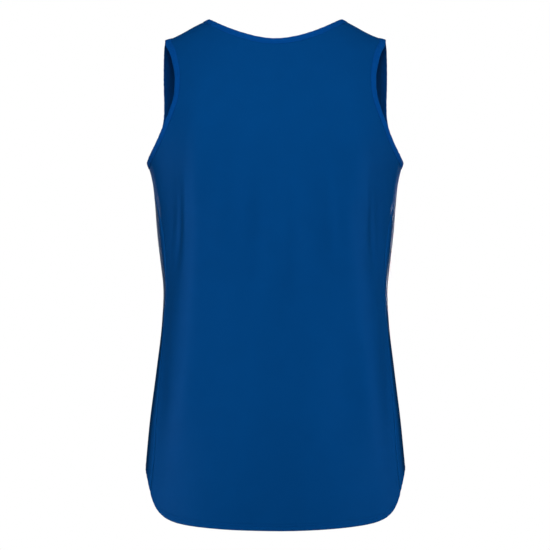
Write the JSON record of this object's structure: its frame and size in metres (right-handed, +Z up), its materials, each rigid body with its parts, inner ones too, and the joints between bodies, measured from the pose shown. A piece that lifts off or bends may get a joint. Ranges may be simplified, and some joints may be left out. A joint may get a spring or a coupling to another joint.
{
  "type": "running singlet",
  "caption": "Sleeveless running singlet in thin knit, filled out as worn, with a scooped neck, bound neck and armholes, shaped waist and a rounded hem that drops at the back.",
  "frame": {"origin": "midway between the two shoulder straps, at the height of their undersides, where the wearer's shoulders carry the garment", "axes": "+Z up, +X towards the wearer's right, +Y out of the wearer's front, so the back faces -Y"},
  "size_m": [0.3474, 0.2302, 0.6714],
  "materials": {
    "panel_knit": "fine textured polyester knit, royal blue, with a soft sheen",
    "binding_knit": "smooth folded knit strip, slightly brighter royal blue"
  },
  "bodies": {
    "root": {"back_panel": "panel_knit", "front_panel": "panel_knit", "neck_binding": "binding_knit", "armhole_binding_left": "binding_knit", "armhole_binding_right": "binding_knit"}
  },
  "joints": []
}
